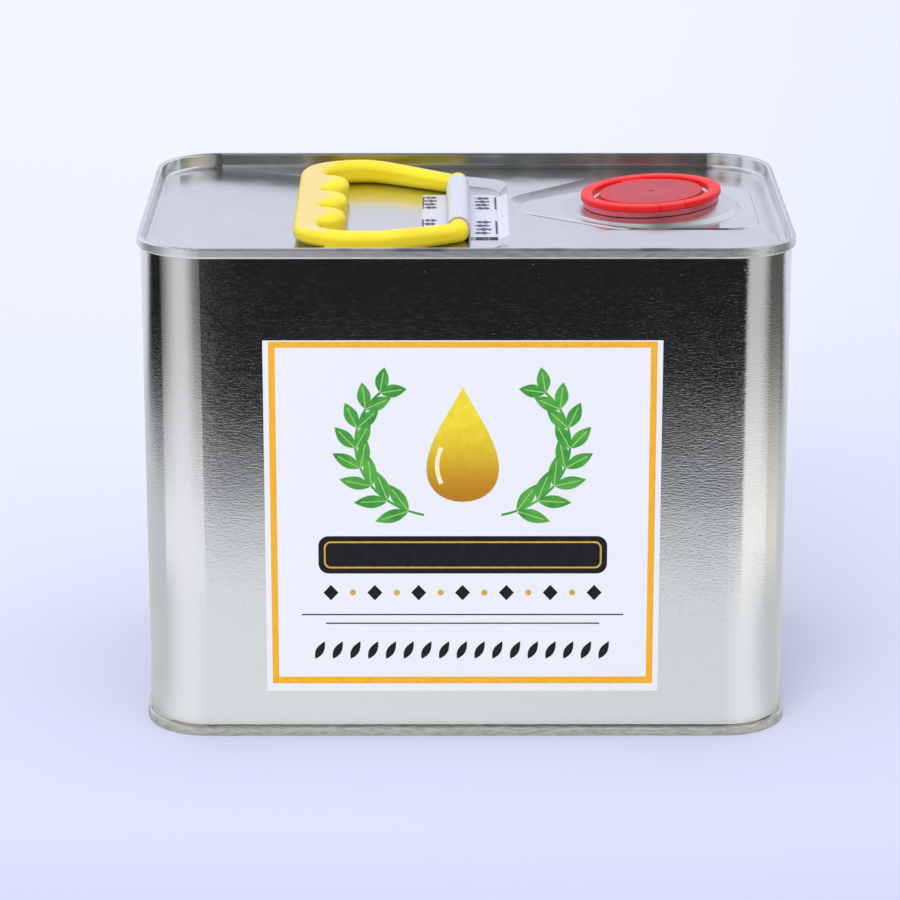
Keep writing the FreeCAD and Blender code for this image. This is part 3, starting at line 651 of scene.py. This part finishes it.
def folding_wall():
    """Thin sleeve from the spout's rim down to the root of its tube."""
    outer = [(17.35, SLEEVE_RIM)]
    inner = [(16.65, SLEEVE_RIM)]
    for index in range(1, SLEEVE_LEVELS + 1):
        share = index / SLEEVE_LEVELS
        swell = 0.12 * math.sin(share * math.pi * 8)
        outer.append((17.3 - 1.0 * share + swell, SLEEVE_RIM - 19.8 * share))
        inner.append((16.6 - 1.0 * share + swell, SLEEVE_RIM - 19.1 * share))
    profile = outer + [(15.9, -20.25), (13.3, -20.25), (13.3, -19.55), (15.2, -19.5)] + inner[::-1]
    points = []
    faces = []
    for radius, height in profile:
        for turn in range(SLEEVE_AROUND):
            points.append(on_closure(radius, 2 * math.pi * turn / SLEEVE_AROUND, height))
    for row in range(len(profile)):
        here = row * SLEEVE_AROUND
        following = (row + 1) % len(profile) * SLEEVE_AROUND
        for turn in range(SLEEVE_AROUND):
            beside = (turn + 1) % SLEEVE_AROUND
            faces.append((here + turn, following + turn, following + beside, here + beside))
    return points, faces


wall_points, wall_faces = folding_wall()
sleeve = mesh_object("spout_sleeve", in_metres(wall_points), wall_faces, natural_finish)
for face in sleeve.data.polygons:
    face.use_smooth = True
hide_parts("spout_bellows")
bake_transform(sleeve)


# Camera, as fitted to the photo

camera_data = bpy.data.cameras.new("camera")
camera_data.lens = 150.06
camera_data.sensor_width = 36.0
camera_data.sensor_fit = "HORIZONTAL"
camera = bpy.data.objects.new("camera", camera_data)
camera.location = (-0.0061, -1.0923, 0.4127)
camera.rotation_euler = (math.radians(72.55), 0.0, math.radians(-0.077))
scene.collection.objects.link(camera)
scene.camera = camera


# Studio, in metres

FLOOR_HALF = 6.0
LEFT_CORNER = (-0.080, -0.045)
RIGHT_CORNER = (0.080, -0.045)
CARD_FOOT = (0.15, 0.002)
CARD_TOP = (0.36, 0.30)
CARD_STEPS = 32


def stage_plane(name, corners, finish):
    made = mesh_object(name, corners, [tuple(range(len(corners)))], finish)


def floor_finish():
    """Pale floor. Metal sees it bright close to the tin and dim further out, as a small white table."""
    made, g = material("floor")
    point = g.point()
    x, y, _ = g.parts(point)

    # What metal sees, by the distance from the tin's foot and the bearing from its nearer front corner
    away = g.math("SUBTRACT", rim_reach(g, x, y), 19 * MM)
    beside = g.math("SUBTRACT", g.math("ABSOLUTE", x), CORNER_X * MM)
    bearing = g.math("ARCTAN2", beside, g.math("SUBTRACT", -CORNER_Y * MM, y))
    sideways = g.step(bearing, math.radians(20), math.radians(80))
    near = g.step(g.math("MULTIPLY_ADD", sideways, -0.062, away), 0.312, 0.14)
    pale = g.times(g.step(y, 0.12, 0.30), g.step(g.math("ABSOLUTE", x), 0.10, 0.16))
    far = g.mix(pale, (0.014, 0.014, 0.015), (0.80, 0.83, 0.94))
    fronting = g.mix(g.step(x, -0.06, 0.08), (0.865, 0.89, 0.915), (0.815, 0.838, 0.865))
    corner = g.mix(g.step(bearing, 0.0, math.radians(25)), fronting, (0.94, 0.955, 0.975))
    close = g.mix(g.step(bearing, math.radians(38), math.radians(88)), corner, (0.66, 0.68, 0.70))
    seen = g.mix(near, far, close)
    # Painted contact shade: within about a centimetre of the tin, metal sees the floor darker and olive
    seen = g.mix(g.step(away, 0.012, 0.001), seen, (0.50, 0.51, 0.48))
    mirror = g.node("ShaderNodeEmission", {"Color": seen})

    # What the camera sees: paler to the back, darker to the right and in front
    back = g.node("ShaderNodeMapRange", {"Value": y, "From Min": -0.2, "From Max": 1.1}).outputs[0]
    tone = g.mix(back, (0.535, 0.555, 0.700), (0.87, 0.885, 0.965))
    tone = g.mix(g.times(g.step(x, 0.05, 0.32), 0.07), tone, BLACK)
    tone = g.mix(g.times(g.step(y, -0.11, -0.19), 0.09), tone, BLACK)
    mottle = g.noise(point, (7, 7, 7), 3.0, 0.5)
    diffuse = g.node("ShaderNodeBsdfDiffuse", {"Color": g.mix(g.times(mottle, 0.02), tone, (0.5, 0.52, 0.6))})
    glow = g.node("ShaderNodeEmission", {"Color": (0.70, 0.76, 1.0), "Strength": 0.12})
    both = g.node("ShaderNodeAddShader", {0: diffuse.outputs[0], 1: glow.outputs[0]})

    path = g.node("ShaderNodeLightPath").outputs
    shown = g.node("ShaderNodeMixShader", {
        0: path["Is Camera Ray"], 1: diffuse.outputs[0], 2: both.outputs[0]})
    chosen = g.node("ShaderNodeMixShader", {
        0: path["Is Glossy Ray"], 1: shown.outputs[0], 2: mirror.outputs[0]})
    g.node("ShaderNodeOutputMaterial", {"Surface": chosen.outputs[0]})
    return made


def card_finish(name, colour, level, share, rise, fall, foot):
    """Glow of a card, which brightens and dims along its length and has another strength at its foot."""
    made, g = material(name)
    along, up, _ = g.parts(g.node("ShaderNodeTexCoord").outputs["UV"])
    shape = g.times(g.scaled(g.step(along, *rise), share, 1.0), g.step(along, *fall))
    upper = g.times(shape, level)
    low = g.step(up, 0.27, 0.0)
    strength = g.math("MULTIPLY_ADD", g.math("SUBTRACT", foot, upper), low, upper)
    glow = g.node("ShaderNodeEmission", {"Color": colour, "Strength": strength})
    g.node("ShaderNodeOutputMaterial", {"Surface": glow.outputs[0]})
    return made


def curved_card(name, middle, start, end, finish):
    """Card on an arc about a floor point, leaning outwards, between two bearings. Only gloss shows it."""
    corners = []
    faces = []
    for index in range(CARD_STEPS + 1):
        bearing = math.radians(start + (end - start) * index / CARD_STEPS)
        for radius, level in (CARD_FOOT, CARD_TOP):
            corners.append((middle[0] + radius * math.sin(bearing),
                            middle[1] - radius * math.cos(bearing), level))
    for index in range(CARD_STEPS):
        faces.append((2 * index, 2 * index + 2, 2 * index + 3, 2 * index + 1))
    made = mesh_object(name, corners, faces, finish)
    mesh = made.data
    layer = mesh.uv_layers.new(name="along")
    for loop in mesh.loops:
        layer.data[loop.index].uv = (loop.vertex_index // 2 / CARD_STEPS, loop.vertex_index % 2)
    made.visible_camera = False
    made.visible_diffuse = False
    made.visible_shadow = False
    made.visible_transmission = False


stage_plane("floor", [(-FLOOR_HALF, -FLOOR_HALF, 0), (FLOOR_HALF, -FLOOR_HALF, 0),
                      (FLOOR_HALF, FLOOR_HALF, 0), (-FLOOR_HALF, FLOOR_HALF, 0)], floor_finish())
curved_card("left_card", LEFT_CORNER, -3, -81,
            card_finish("left_card", (0.97, 0.98, 1.0), 0.71, 0.12, (0.0, 0.40), (1.14, 0.50), 1.05))
curved_card("right_card", RIGHT_CORNER, 29, 80,
            card_finish("right_card", (1.0, 0.99, 0.97), 0.60, 0.80, (0.0, 0.15), (1.15, 0.50), 1.15))
curved_card("right_dim_card", RIGHT_CORNER, 80, 112,
            card_finish("right_dim_card", (1.0, 0.95, 0.86), 0.11, 1.0, (-1.0, -0.5), (3.0, 2.0), 0.95))


def softbox(name, place, aim, size, energy):
    """Lamp panel that lights the set but isn't mirrored."""
    lamp_data = bpy.data.lights.new(name, "AREA")
    lamp_data.shape = "RECTANGLE"
    lamp_data.size, lamp_data.size_y = size
    lamp_data.energy = energy
    lamp = bpy.data.objects.new(name, lamp_data)
    lamp.location = place
    lamp.rotation_euler = (Vector(aim) - Vector(place)).to_track_quat("-Z", "Y").to_euler()
    lamp.visible_camera = False
    lamp.visible_glossy = False
    scene.collection.objects.link(lamp)


softbox("overhead", (0.0, -0.15, 1.5), (0.0, 0.0, 0.0), (1.6, 1.6), 10.0)
softbox("front_fill", (-0.5, -1.6, 1.3), (0.0, 0.0, 0.08), (1.0, 1.0), 16.0)


def studio_world():
    """Plain pale surroundings. Metal sees a bright room with a dark part in front and overhead."""
    world = bpy.data.worlds.new("studio")
    scene.world = world
    world.use_nodes = True
    g = Graph(world.node_tree)
    x, y, z = g.parts(g.node("ShaderNodeTexCoord").outputs["Generated"])
    high = g.mix(g.step(z, 0.68, 0.80), (0.755, 0.78, 0.895), (0.36, 0.37, 0.41))
    back = g.mix(g.step(z, 0.80, 0.95), high, (0.20, 0.205, 0.22))
    front = g.mix(g.step(x, -0.13, 0.0), (0.70, 0.72, 0.71), (0.022, 0.024, 0.021))
    front = g.mix(g.step(x, 0.10, 0.30), front, (0.42, 0.43, 0.42))
    beside = g.step(g.math("ABSOLUTE", x), 0.45, 0.75)
    mirror = g.mix(beside, g.mix(g.step(y, -0.15, 0.20), front, back), (0.92, 0.94, 1.0))
    path = g.node("ShaderNodeLightPath").outputs
    plain = g.mix(path["Is Camera Ray"], (0.70, 0.72, 0.76), (0.83, 0.87, 1.0))
    colour = g.mix(path["Is Glossy Ray"], plain, mirror)
    backdrop = g.node("ShaderNodeBackground", {"Color": colour, "Strength": 1.0})
    g.node("ShaderNodeOutputWorld", {"Surface": backdrop.outputs[0]})


studio_world()
